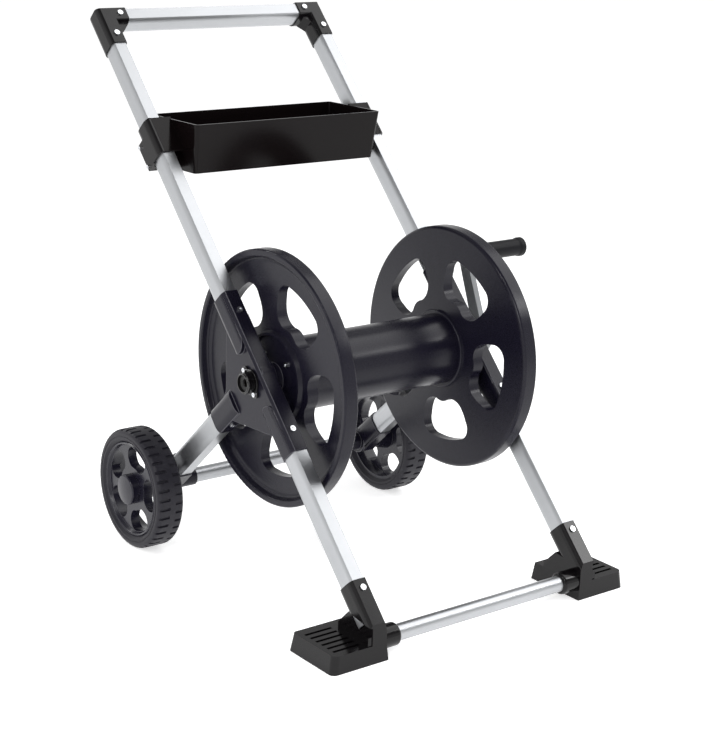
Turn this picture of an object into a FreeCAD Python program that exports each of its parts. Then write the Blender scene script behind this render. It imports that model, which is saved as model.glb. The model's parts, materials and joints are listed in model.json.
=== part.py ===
import FreeCAD, Part
import math
import os
from FreeCAD import Placement, Rotation, Vector
import Sketcher

# Garden hose reel cart.  Millimetres.  +Z up, the crank on the +X side, the feet at the front (-Y).
# The origin lies on the ground under the middle of the whole cart, crank handle included.

CELLS = {
    # where the cart's own middle line stands in this frame
    "origin_x": 42.15,
    "origin_y": 394.42,
    # leaning rails: a flat-faced extrusion with bulging sides and a round back
    "rail_lean": 46.4,
    "rail_front_y": -52.6,
    "rail_x": 205,
    "rail_width": 26,
    "rail_depth": 39,
    "rail_flat": 19.5,
    "rail_shoulder": 11,
    "rail_wall": 1.8,
    "socket_wall": 2.2,
    "socket_gap": 0.1,
    # axes
    "reel_y": 316.4,
    "reel_z": 338.4,
    "wheel_y": 581,
    "wheel_radius": 99.3,
    # handle
    "handle_s": 1170.8,
    "corner_low_s": 1113,
    "corner_reach": 35,
    # side bracket
    "upper_socket_low": 545,
    "upper_socket_high": 640,
    "lower_socket_low": 363,
    "lower_socket_high": 450,
    "leg_socket_end": 131,
    "leg_socket_start": 62,
    "web_in": 192,
    "web_out": 213.5,
    "hub_in": 190,
    "hub_radius": 37,
    "bushing_radius": 16,
    # reel
    "flange_radius": 198,
    "flange_in": 159,
    "flange_out": 185,
    "flange_dish": 9,
    "web_face": 172,
    "hub_ring_radius": 69,
    "hub_ring_face": 177,
    "recess_face": 168,
    "hole_count": 5,
    "hole_phase": 45.3,
    "drum_radius": 57,
    "drum_wall": 3.5,
    "drum_half": 150,
    "journal_radius": 13.95,
    "tube_radius": 9,
    "tube_bore": 6,
    "outlet_x": 75,
    "outlet_angle": 284,
    # crank
    "crank_in": 239,
    "crank_thick": 10,
    "crank_radius": 145,
    "crank_angle": 68.6,
    "grip_in": 255,
    "grip_out": 370,
    "grip_radius": 14.6,
    "grip_lip": 16.2,
    # wheels
    "wheel_in": 229.6,
    "wheel_out": 277.1,
    "tyre_seat": 79,
    "notch_count": 40,
    "wheel_web_face": 269,
    "wheel_web_back": 253,
    "window_count": 5,
    "window_phase": 32.4,
    "cap_radius": 25,
    "cap_face": 285.5,
    "axle_radius": 5,
    "axle_tube_radius": 12.5,
    # feet
    "foot_in": 189.8,
    "foot_out": 285.7,
    "foot_depth": 108,
    "pad_height": 28,
    "foot_socket_low": 45,
    "foot_socket_high": 152,
    "crossbar_y": 20,
    "crossbar_z": 27.5,
    "crossbar_radius": 12.5,
    # tray
    "tray_half": 179.6,
    "tray_front": 524.4,
    "tray_back": 667,
    "tray_top": 695.7,
    "tray_floor": 617,
    "tray_taper_side": 4.6,
    "tray_taper_front": 13.1,
    "tray_wall": 2.6,
    "ear_low_s": 898,
    "ear_high_s": 962,
    # fasteners
    "screw_head": 4.6,
    "screw_shank": 2,
}


def text_of(value):
    """The text a plain number has inside a sheet expression."""
    return "(" + format(float(value), ".6f") + ")"


class Dim:
    """A length or angle together with the sheet expression that gives it."""

    def __init__(self, value, text):
        self.value = float(value)
        self.text = text

    @staticmethod
    def of(value):
        return value if isinstance(value, Dim) else Dim(value, text_of(value))

    def __add__(self, other):
        other = Dim.of(other)
        return Dim(self.value + other.value, "(" + self.text + " + " + other.text + ")")

    def __sub__(self, other):
        other = Dim.of(other)
        return Dim(self.value - other.value, "(" + self.text + " - " + other.text + ")")

    def __mul__(self, other):
        other = Dim.of(other)
        return Dim(self.value * other.value, "(" + self.text + " * " + other.text + ")")

    def __truediv__(self, other):
        other = Dim.of(other)
        return Dim(self.value / other.value, "(" + self.text + " / " + other.text + ")")

    def __radd__(self, other):
        return Dim.of(other) + self

    def __rsub__(self, other):
        return Dim.of(other) - self

    def __rmul__(self, other):
        return Dim.of(other) * self

    def __neg__(self):
        return self * -1


def cos(angle):
    angle = Dim.of(angle)
    return Dim(math.cos(math.radians(angle.value)), "cos(" + angle.text + " * 1deg)")


def sin(angle):
    angle = Dim.of(angle)
    return Dim(math.sin(math.radians(angle.value)), "sin(" + angle.text + " * 1deg)")


doc = FreeCAD.newDocument("hose_reel_cart")
sheet = doc.addObject("Spreadsheet::Sheet", "Sizes")
for row, (alias, number) in enumerate(CELLS.items(), start=1):
    sheet.set("A" + str(row), alias)
    sheet.set("B" + str(row), str(number))
    sheet.setAlias("B" + str(row), alias)
doc.recompute()


class Sizes:
    """The sheet's cells as Dims: D.rail_width and so on."""

    def __getattr__(self, alias):
        return Dim(CELLS[alias], "Sizes." + alias)


D = Sizes()
NODES = []
SIDES = {"left": -1, "right": 1}
X_AXIS = Vector(1, 0, 0)
FACING_X = Rotation(Vector(1, 1, 1), 120)   # sketch x, y, normal -> Y, Z, X
ALONG_BAR = Rotation(Vector(0, 1, 0), 90)   # sketch x, y, normal -> -Z, Y, X


def number(value):
    return value.value if isinstance(value, Dim) else float(value)


def bind(obj, path, value):
    if isinstance(value, Dim):
        obj.setExpression(path, value.text)


def place(obj, path, base, rotation):
    """Set a placement and bind its base to the sheet."""
    setattr(obj, path, Placement(Vector(*[number(v) for v in base]), rotation))
    for axis, value in zip("xyz", base):
        bind(obj, path + ".Base." + axis, value)


def sketch(body, name, base=(0, 0, 0), rotation=Rotation()):
    sk = body.newObject("Sketcher::SketchObject", name)
    plane = next(f for f in body.Origin.OriginFeatures if f.Role == "XY_Plane")
    sk.AttachmentSupport = [(plane, "")]
    sk.MapMode = "FlatFace"
    place(sk, "AttachmentOffset", base, rotation)
    return sk


def pin_point(sk, geo, pos, x, y):
    """Hold one end of a sketch element at x, y from the sketch's origin."""
    for kind, axis, value in (("DistanceX", -2, x), ("DistanceY", -1, y)):
        if number(value) == 0:
            sk.addConstraint(Sketcher.Constraint("PointOnObject", geo, pos, axis))
            continue
        index = sk.addConstraint(Sketcher.Constraint(kind, -1, 1, geo, pos, number(value)))
        bind(sk, "Constraints[" + str(index) + "]", value)


def set_radius(sk, geo, radius):
    index = sk.addConstraint(Sketcher.Constraint("Radius", geo, number(radius)))
    bind(sk, "Constraints[" + str(index) + "]", radius)


def arc_between(start, end, radius):
    """The arc from start to end; a positive radius has its centre to the left of the way there."""
    chord = end - start
    size = abs(radius)
    height = math.sqrt(max(size * size - chord.Length ** 2 / 4, 0))
    left = Vector(-chord.y, chord.x, 0).normalize()
    centre = (start + end) / 2 + left * (height if radius > 0 else -height)
    first, last = (start, end) if radius > 0 else (end, start)
    angles = [math.atan2(p.y - centre.y, p.x - centre.x) for p in (first, last)]
    return Part.ArcOfCircle(Part.Circle(centre, Vector(0, 0, 1), size), *angles)


def loop(sk, points, closed=True):
    """Join the points; a third value in a point is the radius of the arc to the next one."""
    ends = []
    pairs = list(zip(points, points[1:] + points[:1]))
    for here, there in pairs if closed else pairs[:-1]:
        start = Vector(number(here[0]), number(here[1]), 0)
        end = Vector(number(there[0]), number(there[1]), 0)
        if len(here) == 3:
            geo = sk.addGeometry(arc_between(start, end, number(here[2])), False)
            ends.append((geo, 1, 2) if number(here[2]) > 0 else (geo, 2, 1))
        else:
            geo = sk.addGeometry(Part.LineSegment(start, end), False)
            ends.append((geo, 1, 2))
    for here, there in zip(ends, ends[1:] + ends[:1] if closed else ends[1:]):
        sk.addConstraint(Sketcher.Constraint("Coincident", here[0], here[2], there[0], there[1]))
    for point, end in zip(points, ends):
        pin_point(sk, end[0], end[1], point[0], point[1])
        if len(point) == 3:
            radius = point[2] if number(point[2]) > 0 else -point[2]
            set_radius(sk, end[0], radius)
    if not closed:
        pin_point(sk, ends[-1][0], ends[-1][2], points[-1][0], points[-1][1])
    return sk


def circle(sk, x, y, radius):
    centre = Vector(number(x), number(y), 0)
    geo = sk.addGeometry(Part.Circle(centre, Vector(0, 0, 1), number(radius)), False)
    pin_point(sk, geo, 3, x, y)
    set_radius(sk, geo, radius)
    return sk


def new_body(name, base=(-D.origin_x, -D.origin_y, 0), rotation=Rotation()):
    body = doc.addObject("PartDesign::Body", name)
    place(body, "Placement", base, rotation)
    NODES.append(body)
    return body


def extrude(body, kind, sk, length):
    """Pad or pocket a sketch along its own normal."""
    feature = body.newObject("PartDesign::" + kind, sk.Name + "_" + kind.lower())
    feature.Profile = sk
    feature.Length = number(length)
    bind(feature, "Length", length)
    feature.Reversed = kind == "Pocket"
    sk.Visibility = False
    return feature


def revolve(body, kind, sk, axis="H_Axis"):
    feature = body.newObject("PartDesign::" + kind, sk.Name + "_" + kind.lower())
    feature.Profile = sk
    feature.ReferenceAxis = (sk, [axis])
    feature.Angle = 360
    return feature


def soften(body, radius, wanted, kind="Fillet"):
    """Round or chamfer the tip's edges for which wanted(edge) is true."""
    doc.recompute()
    tip = body.Tip
    names = ["Edge" + str(i) for i, edge in enumerate(tip.Shape.Edges, start=1) if wanted(edge)]
    feature = body.newObject("PartDesign::" + kind, body.Name + "_" + kind.lower())
    feature.Base = (tip, names)
    prop = "Radius" if kind == "Fillet" else "Size"
    setattr(feature, prop, number(radius))
    bind(feature, prop, radius)
    return feature


def repeat(body, feature, count):
    """Repeat a feature round the body's own X axis."""
    pattern = body.newObject("PartDesign::PolarPattern", feature.Name + "_pattern")
    pattern.Originals = [feature]
    pattern.Axis = (next(f for f in body.Origin.OriginFeatures if f.Role == "X_Axis"), [""])
    pattern.Angle = 360
    pattern.Occurrences = int(number(count))
    bind(pattern, "Occurrences", count)
    body.Tip = pattern
    return pattern


def drill(body, label, base, rotation, radius, length):
    """A round hole from base along the rotated normal."""
    hole = circle(sketch(body, label, base, rotation), 0, 0, radius)
    return extrude(body, "Pocket", hole, length)


def span(side, near, far):
    """Where an X stretch begins, and how long it is, on the given side."""
    return (near if side > 0 else -far), far - near


def flip(points, side):
    """The points mirrored in x when side is -1."""
    return [tuple(v if i == 1 else v * side for i, v in enumerate(p)) for p in points]


def rail_outline(x, grow, y=0):
    """The extrusion's section about x, its flat on y, grown outwards all round."""
    half = D.rail_width / 2 + grow
    flat = D.rail_flat / 2 + grow / 2
    inset = half - flat
    front = y - grow
    back = y + D.rail_depth + grow
    rise = D.rail_shoulder + grow
    big = (inset * inset + rise * rise) / (inset * 2)
    return [
        (x - flat, front),
        (x + flat, front, big),
        (x + half, front + rise),
        (x + half, back - half, half),
        (x, back, half),
        (x - half, back - half),
        (x - half, front + rise, big),
    ]


def on_rail(s, m):
    """Y and Z of a point s up the rails and m behind their flat front."""
    y = D.rail_front_y + s * cos(D.rail_lean) + m * sin(D.rail_lean)
    z = s * sin(D.rail_lean) - m * cos(D.rail_lean)
    return y, z


LEAN = Rotation(X_AXIS, CELLS["rail_lean"] - 90)
leg_run = D.wheel_y - D.reel_y
leg_fall = D.reel_z - D.wheel_radius
LEG_ANGLE = math.degrees(math.atan2(leg_fall.value, leg_run.value))
LEG_TURN = Rotation(X_AXIS, 90 - LEG_ANGLE)
leg_length = Dim(math.hypot(leg_run.value, leg_fall.value),
                 "sqrt(" + (leg_run * leg_run + leg_fall * leg_fall).text + ")")
leg_cos = leg_run / leg_length
leg_sin = leg_fall / leg_length
leg_face = -(D.rail_depth / 2)


def on_leg(t, m):
    """Y and Z of a point t from the reel's axis down the leg and m above its middle line."""
    return D.reel_y + t * leg_cos + m * leg_sin, D.reel_z - t * leg_sin + m * leg_cos


def at_x(x, yz=(0, 0)):
    return (x, yz[0], yz[1])


def tube(name, base, rotation, outlines, length):
    """A hollow extrusion: the first outline padded, the second cut out of it."""
    body = new_body(name, base, rotation)
    outer = loop(sketch(body, name + "_outer"), outlines[0])
    extrude(body, "Pad", outer, length)
    inner = loop(sketch(body, name + "_inner"), outlines[1])
    extrude(body, "Pocket", inner, length)
    return body


def cylinder(name, base, rotation, radius, length):
    obj = doc.addObject("Part::Cylinder", name)
    obj.Radius = number(radius)
    obj.Height = number(length)
    bind(obj, "Radius", radius)
    bind(obj, "Height", length)
    place(obj, "Placement", base, rotation)
    return obj


def screws(name, spots, head=D.screw_head, height=2.6, shank=D.screw_shank, length=12):
    """Separate pan-headed screws in one node; each spot is the seat's centre and the way the head faces."""
    members = []
    for index, (seat, outward) in enumerate(spots):
        label = name + "_" + str(index)
        turn = Rotation(Vector(0, 0, 1), outward)
        base = (seat[0] - D.origin_x, seat[1] - D.origin_y, seat[2])
        dome = cylinder(label + "_head", base, turn, head, height)
        slot = cylinder(label + "_recess", base, turn, head * 0.42, 1.2)
        depth = outward * (height - 1.2)
        for axis, step in zip("xyz", depth):
            bind(slot, "Placement.Base." + axis, Dim.of(base["xyz".index(axis)]) + step)
        cap = doc.addObject("Part::Cut", label + "_cap")
        cap.Base = dome
        cap.Tool = slot
        stem = cylinder(label + "_shank", base, Rotation(Vector(0, 0, 1), -outward), shank, length)
        one = doc.addObject("Part::MultiFuse", label)
        one.Shapes = [cap, stem]
        members.append(one)
    group = doc.addObject("Part::Compound", name)
    group.Links = members
    NODES.append(group)
    return group


FRONT = Vector(0, -math.sin(math.radians(CELLS["rail_lean"])), math.cos(math.radians(CELLS["rail_lean"])))
UNDER = Vector(0, -math.sin(math.radians(LEG_ANGLE)), -math.cos(math.radians(LEG_ANGLE)))

# ---------------------------------------------------------------- frame tubes
rail_base = D.rail_front_y - D.origin_y
wheel_base = (-D.origin_x, D.wheel_y - D.origin_y, D.wheel_radius)
bar_lock = 22
for side_name, side in SIDES.items():
    x = D.rail_x * side
    shapes = (rail_outline(0, 0), rail_outline(0, -D.rail_wall, 0))
    stretches = {
        "upper_rail": (D.upper_socket_low + 30, D.handle_s - 17),
        "lower_rail": (D.foot_socket_low + 45, D.lower_socket_high - 25),
    }
    for kind, (low, high) in stretches.items():
        base = (x - D.origin_x,
                rail_base + low * cos(D.rail_lean),
                low * sin(D.rail_lean))
        tube(side_name + "_" + kind, base, LEAN, shapes, high - low)
    low = 24
    base = (x - D.origin_x,
            wheel_base[1] - low * leg_cos,
            D.wheel_radius + low * leg_sin)
    legs = (rail_outline(0, 0, leg_face), rail_outline(0, -D.rail_wall, leg_face))
    tube(side_name + "_rear_leg", base, LEG_TURN, legs, leg_length - low - 75)

bar_half = D.rail_x - 16
handle_y, handle_z = on_rail(D.handle_s, 0)
tube("handle_bar", (-bar_half - D.origin_x, handle_y - D.origin_y, handle_z),
     LEAN * ALONG_BAR, (rail_outline(0, 0), rail_outline(0, -D.rail_wall, 0)), bar_half * 2)


def round_bar(name, y, z, radius, wall, half):
    body = new_body(name, (-half - D.origin_x, y - D.origin_y, z), FACING_X)
    ring = circle(circle(sketch(body, name + "_ring"), 0, 0, radius), 0, 0, radius - wall)
    extrude(body, "Pad", ring, half * 2)
    return body


round_bar("front_crossbar", D.crossbar_y, D.crossbar_z, D.crossbar_radius, 1.8, D.foot_in - 4)
round_bar("axle_tube", D.wheel_y, D.wheel_radius, D.axle_tube_radius, 2, D.web_in - 4)

axle = new_body("axle_rod", (-D.origin_x, D.wheel_y - D.origin_y, D.wheel_radius))
axle_half = D.cap_face - 6
rod = circle(sketch(axle, "axle_rod_end", (-axle_half, 0, 0), FACING_X), 0, 0, D.axle_radius)
extrude(axle, "Pad", rod, axle_half * 2)

# ---------------------------------------------------------------- corners
wall = D.socket_wall
gap = D.socket_gap
for side_name, side in SIDES.items():
    name = side_name + "_corner"
    body = new_body(name, (-D.origin_x, rail_base, 0), LEAN)
    # local: x across, y behind the flat, z up the rail
    outer = D.rail_x + D.rail_width / 2 + wall
    inner = D.rail_x - D.rail_width / 2 - wall
    top = D.handle_s + D.rail_width / 2 + wall
    below = D.handle_s - D.rail_width / 2 - wall
    round_off = 12
    facing_front = Rotation(X_AXIS, 90)  # sketch y -> z, normal -> -y
    profile = loop(sketch(body, name + "_profile", (0, 0, D.corner_low_s)),
                   rail_outline(D.rail_x * side, wall))
    bend = loop(sketch(body, name + "_bend", (0, 0, 0), facing_front), flip([
        (D.rail_x, D.corner_low_s),
        (D.rail_x, D.handle_s),
        (D.rail_x - D.corner_reach, D.handle_s),
    ], side), closed=False)
    elbow = body.newObject("PartDesign::AdditivePipe", name + "_elbow")
    elbow.Profile = profile
    elbow.Spine = bend
    elbow.Transition = "Right corner"
    gusset = [(inner + 4, below - 14), (inner + 4, below + 4), (inner - 14, below + 4)]
    web = loop(sketch(body, name + "_gusset", (0, D.rail_depth - 6, 0), facing_front), flip(gusset, side))
    extrude(body, "Pad", web, D.rail_depth - 12)
    tip = [
        (outer + 5, top + 5),
        (outer - round_off, top + 5),
        (outer - round_off, top, -round_off),
        (outer, top - round_off),
        (outer + 5, top - round_off),
    ]
    cut = loop(sketch(body, name + "_round", (0, -20, 0), facing_front), flip(tip, side))
    extrude(body, "Pocket", cut, D.rail_depth + 40)
    hollow = loop(sketch(body, name + "_rail_bore", (0, 0, D.corner_low_s)),
                  rail_outline(D.rail_x * side, gap))
    extrude(body, "Pocket", hollow, D.handle_s - 17 - D.corner_low_s)
    start, length = span(side, D.rail_x - D.corner_reach, bar_half)
    hollow = loop(sketch(body, name + "_bar_bore", (start, 0, D.handle_s), ALONG_BAR), rail_outline(0, gap))
    extrude(body, "Pocket", hollow, length)


# ---------------------------------------------------------------- side brackets
def socket(body, label, base, rotation, x, length, y=0):
    sk = loop(sketch(body, label, base, rotation), rail_outline(x, D.socket_wall, y))
    extrude(body, "Pad", sk, length)


def bore(body, label, base, rotation, x, length, y=0):
    sk = loop(sketch(body, label, base, rotation), rail_outline(x, D.socket_gap, y))
    extrude(body, "Pocket", sk, length)


hub_out = D.rail_x + D.rail_width / 2 + wall
for side_name, side in SIDES.items():
    name = side_name + "_side_bracket"
    body = new_body(name)
    x = D.rail_x * side
    web_plan = [
        on_rail(D.lower_socket_low + 44, 0),
        on_rail(D.lower_socket_low + 44, 38),
        on_leg(88, -D.rail_depth / 2 - wall),
        on_leg(D.leg_socket_end - 20, -10),
        on_leg(D.leg_socket_end - 20, 10),
        (D.reel_y + 70.6, D.reel_z - 31),
        (D.reel_y + 70.6, D.reel_z + 60),
        on_rail(D.upper_socket_low + 50, 38),
        on_rail(D.upper_socket_low + 50, 0),
    ]
    start, length = span(side, D.web_in, D.web_out)
    web = loop(sketch(body, name + "_web", at_x(start), FACING_X), web_plan)
    extrude(body, "Pad", web, length)
    start, length = span(side, D.hub_in, D.web_out)
    hub = circle(sketch(body, name + "_hub", at_x(start), FACING_X), D.reel_y, D.reel_z, D.hub_radius)
    extrude(body, "Pad", hub, length)
    low, high = D.lower_socket_low, D.upper_socket_high
    socket(body, name + "_spine", at_x(0, on_rail(low, 0)), LEAN, x, high - low)
    bulge = 18.6
    low, high = D.lower_socket_high - bulge, D.upper_socket_low + bulge
    near, far = 4, 4 + bulge * 2
    waist = [
        on_rail(high, near),
        on_rail(low, near) + (-bulge,),
        on_rail(low, far),
        on_rail(low, far + 12),
        on_rail(high, far + 12),
        on_rail(high, far) + (-bulge,),
    ]
    start, length = span(side, D.web_out, 230)
    cut = loop(sketch(body, name + "_waist", at_x(start), FACING_X), waist)
    extrude(body, "Pocket", cut, length)
    start, length = span(side, 180, D.hub_in)
    cut = circle(sketch(body, name + "_flange_room", at_x(start), FACING_X), D.reel_y, D.reel_z, 21)
    extrude(body, "Pocket", cut, length)
    end = D.leg_socket_end
    socket(body, name + "_leg", at_x(0, on_leg(end, 0)), LEG_TURN, x, end - D.leg_socket_start,
           leg_face)
    low = D.upper_socket_low + 30
    bore(body, name + "_upper_bore", at_x(0, on_rail(low, 0)), LEAN, x, 100)
    low = D.lower_socket_low - 20
    bore(body, name + "_lower_bore", at_x(0, on_rail(low, 0)), LEAN, x, D.lower_socket_high - 25 - low)
    bore(body, name + "_leg_bore", at_x(0, on_leg(end + 20, 0)), LEG_TURN, x, end + 20 - 75, leg_face)
    start, length = span(side, 180, 230)
    seat = circle(sketch(body, name + "_seat", at_x(start), FACING_X), D.reel_y, D.reel_z,
                  D.bushing_radius + 0.1)
    extrude(body, "Pocket", seat, length)

# ---------------------------------------------------------------- axle brackets
for side_name, side in SIDES.items():
    name = side_name + "_axle_bracket"
    body = new_body(name, wheel_base, LEG_TURN)
    x = D.rail_x * side
    socket(body, name + "_sleeve", (0, 0, 0), Rotation(), x, 66, leg_face)
    inner = D.rail_x - D.rail_width / 2 - wall
    start, length = span(side, inner, hub_out)
    toe = circle(sketch(body, name + "_toe", at_x(start), FACING_X), 0, 0, D.rail_depth / 2 + wall)
    extrude(body, "Pad", toe, length)
    start, length = span(side, D.web_in - 39, inner + 5)
    collar = circle(sketch(body, name + "_collar", at_x(start), FACING_X), 0, 0, D.axle_tube_radius + 3)
    extrude(body, "Pad", collar, length)
    start, length = span(side, hub_out - 2, hub_out + 5)
    boss = circle(sketch(body, name + "_boss", at_x(start), FACING_X), 0, 0, 13)
    extrude(body, "Pad", boss, length)
    low = 24
    bore(body, name + "_leg_bore", (0, 0, low), Rotation(), x, 60, leg_face)
    start, length = span(side, D.web_in - 45, D.web_in - 4)
    seat = circle(sketch(body, name + "_tube_bore", at_x(start), FACING_X), 0, 0, D.axle_tube_radius + gap)
    extrude(body, "Pocket", seat, length)
    start, length = span(side, 150, 240)
    hole = circle(sketch(body, name + "_axle_hole", at_x(start), FACING_X), 0, 0, D.axle_radius + gap)
    extrude(body, "Pocket", hole, length)

# ---------------------------------------------------------------- feet
for side_name, side in SIDES.items():
    name = side_name + "_foot"
    body = new_body(name)
    x = D.rail_x * side
    inner, outer, depth = D.foot_in, D.foot_out, D.foot_depth
    low, high = D.foot_socket_low, D.foot_socket_high
    socket(body, name + "_socket", at_x(0, on_rail(low, 0)), LEAN, x, high - low)
    cheek = hub_out - 5
    start, length = span(side, cheek, hub_out + 10)
    below_sleeve = [(-60, 0), (120, 0), (120, 72), (50, 62), (2, 55), (-60, 46)]
    cut = loop(sketch(body, name + "_cheek", at_x(start), FACING_X), below_sleeve)
    extrude(body, "Pocket", cut, length)
    plans = []
    for label, level, ahead, around in (("sole", 0, 0, 0), ("top", D.pad_height, 1.5, 4)):
        edge, back, near = outer - around, depth - around, inner - 3 + ahead * 2
        plan = [
            (near, ahead),
            (edge - 10, ahead, 10),
            (edge, ahead + 10),
            (edge, back - 6, 6),
            (edge - 6, back),
            (near, back),
        ]
        plans.append(loop(sketch(body, name + "_" + label, (0, 0, level)), flip(plan, side)))
    pad = body.newObject("PartDesign::AdditiveLoft", name + "_pad")
    pad.Profile = plans[0]
    pad.Sections = plans[1:]
    start, length = span(side, inner, cheek)
    heel_plan = [(0, 0), (84, 0), (84, 36), (60, 60), (6, 53), (1.5, 48), (1.5, D.pad_height)]
    heel = loop(sketch(body, name + "_heel", at_x(start), FACING_X), heel_plan)
    extrude(body, "Pad", heel, length)
    start, length = span(side, cheek - 1, cheek + 7)
    rib_plan = [(3, 20), (24, 20), (20, 32), (3, 41)]
    rib = loop(sketch(body, name + "_rib", at_x(start), FACING_X), rib_plan)
    extrude(body, "Pad", rib, length)
    start, length = span(side, 160, inner + 6)
    collar = circle(sketch(body, name + "_collar", at_x(start), FACING_X), D.crossbar_y, D.crossbar_z,
                    D.crossbar_radius + 5)
    extrude(body, "Pad", collar, length)
    soften(body, 5, lambda e: abs(abs(e.CenterOfMass.x) - 160) < 0.01)
    front_cut = [(-60, 0), (0, 0), (1.5, D.pad_height), (1.5, 90), (-60, 90)]
    cut_start = start if side > 0 else start - 60
    cut = loop(sketch(body, name + "_front_cut", at_x(cut_start), FACING_X), front_cut)
    extrude(body, "Pocket", cut, 130)
    low = D.foot_socket_low + 45
    bore(body, name + "_rail_bore", at_x(0, on_rail(low, 0)), LEAN, x, 100)
    start, length = span(side, 150, inner - 4)
    seat = circle(sketch(body, name + "_bar_bore", at_x(start), FACING_X), D.crossbar_y, D.crossbar_z,
                  D.crossbar_radius + gap)
    extrude(body, "Pocket", seat, length)
    for index in range(6):
        line = 15 + 13.5 * index
        inner_end = hub_out + 6
        groove = [(inner_end, line), (outer - 13, line), (outer - 13, line + 5.2), (inner_end, line + 5.2)]
        base = (0, 0, D.pad_height - 2.5)
        slot = loop(sketch(body, name + "_slot_" + str(index), base), flip(groove, side))
        extrude(body, "Pocket", slot, 10)

# ---------------------------------------------------------------- tray and its clamps
tray = new_body("tray")


def tray_outline(half, front, back, corner):
    return [
        (-half + corner, front),
        (half - corner, front, corner),
        (half, front + corner),
        (half, back - corner, corner),
        (half - corner, back),
        (-half + corner, back, corner),
        (-half, back - corner),
        (-half, front + corner, corner),
    ]


def tray_block(kind, label, inset, low, corner):
    bottom = loop(
        sketch(tray, label + "_bottom", (0, 0, low)),
        tray_outline(D.tray_half - D.tray_taper_side - inset, D.tray_front + D.tray_taper_front + inset,
                     D.tray_back - 4 - inset, corner))
    top = loop(
        sketch(tray, label + "_top", (0, 0, D.tray_top)),
        tray_outline(D.tray_half - inset, D.tray_front + inset, D.tray_back - inset, corner))
    feature = tray.newObject("PartDesign::" + kind, label)
    feature.Profile = bottom
    feature.Sections = [top]
    return feature


tray_block("AdditiveLoft", "tray_shell", 0, D.tray_floor, 6)
ear_thick = 3
lug_length = 48
for side_name, side in SIDES.items():
    start, length = span(side, D.tray_half - 3, D.rail_x + D.rail_flat / 2 - 2)
    low, high = D.ear_low_s, D.ear_high_s
    front = [
        on_rail(low, -ear_thick),
        on_rail(high, -ear_thick),
        on_rail(high, -0.1),
        on_rail(low, -0.1),
    ]
    ear = loop(sketch(tray, side_name + "_ear", at_x(start), FACING_X), front[::-1])
    extrude(tray, "Pad", ear, length)
    rear = [
        on_rail(low - 2, D.rail_depth + 0.6),
        on_rail(low + lug_length - 2, D.rail_depth + 0.6),
        on_rail(low + lug_length - 2, D.rail_depth + 8.6),
        on_rail(low - 2, D.rail_depth + 8.6),
    ]
    start, length = span(side, D.tray_half - 3, D.rail_x + 7)
    lug = loop(sketch(tray, side_name + "_lug", at_x(start), FACING_X), rear)
    extrude(tray, "Pad", lug, length)
tray_block("SubtractiveLoft", "tray_inside", D.tray_wall, D.tray_floor + 3, 3.4)

for side_name, side in SIDES.items():
    name = side_name + "_tray_clamp"
    low = D.ear_low_s
    body = new_body(name, (-D.origin_x, rail_base + low * cos(D.rail_lean), low * sin(D.rail_lean)), LEAN)
    shell_thick = ear_thick + 0.4
    edge = D.rail_x + D.rail_flat / 2
    tab = D.rail_x + 7.2
    back = D.rail_depth + 0.6
    around = rail_outline(D.rail_x, shell_thick)
    against = rail_outline(D.rail_x, gap)
    shell = [
        (edge - 1.5, -shell_thick),
        around[1],
        around[2],
        around[3],
        (tab, D.rail_depth + 1.74),
        (tab, back),
        (D.rail_x, back),
        against[4][:2] + (-against[3][2],),
        against[3][:2],
        against[2] + (-against[1][2],),
        against[1][:2],
        (edge - 1.5, -gap),
    ]
    sk = loop(sketch(body, name + "_plan"), flip(shell, side))
    extrude(body, "Pad", sk, D.ear_high_s - D.ear_low_s)
    fold = D.rail_width / 2 + 1.5
    flap = [
        around[3][:2],
        (around[3][0], back + 8),
        (tab, back + 8),
        (tab, D.rail_depth - 0.4, -fold),
        (D.rail_x + fold, around[3][1]),
    ]
    sk = loop(sketch(body, name + "_flap", (0, 0, -2)), flip(flap, side))
    extrude(body, "Pad", sk, lug_length)

# ---------------------------------------------------------------- reel
reel_base = (-D.origin_x, D.reel_y - D.origin_y, D.reel_z)


def polar(radius, angle):
    return radius * cos(angle), radius * sin(angle)


def flange_profile():
    """Half section in x, r: smooth dished inner face, rim with a lip, recessed web and a hub ring."""
    inner_hub = D.flange_in - D.flange_dish
    rim = D.flange_radius
    spigot = D.drum_radius - D.drum_wall - 0.3
    collar = D.drum_radius + 0.3
    return [
        (D.recess_face - 8, spigot - 4),
        (inner_hub - 6, spigot - 4),
        (inner_hub - 6, spigot),
        (inner_hub, spigot),
        (inner_hub, collar),
        (inner_hub - 6, collar),
        (inner_hub - 6, collar + 3.7, -2.5),
        (inner_hub - 3.5, collar + 6.2),
        (inner_hub + 0.3, collar + 7.2),
        (D.flange_in, rim - 6, -7),
        (D.flange_in + 5, rim),
        (D.flange_out - 3, rim, -3),
        (D.flange_out, rim - 3),
        (D.flange_out, rim - 8, -3),
        (D.flange_out - 3, rim - 11),
        (D.flange_out - 8, rim - 13, 3),
        (D.flange_out - 10, rim - 17),
        (D.web_face, rim - 24),
        (D.web_face - 1, D.hub_ring_radius + 4),
        (D.hub_ring_face, D.hub_ring_radius + 1),
        (D.hub_ring_face, D.hub_ring_radius - 3),
        (D.recess_face, D.hub_ring_radius - 3.5),
        (D.recess_face, 15),
        (D.recess_face - 8, 15),
    ]


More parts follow.
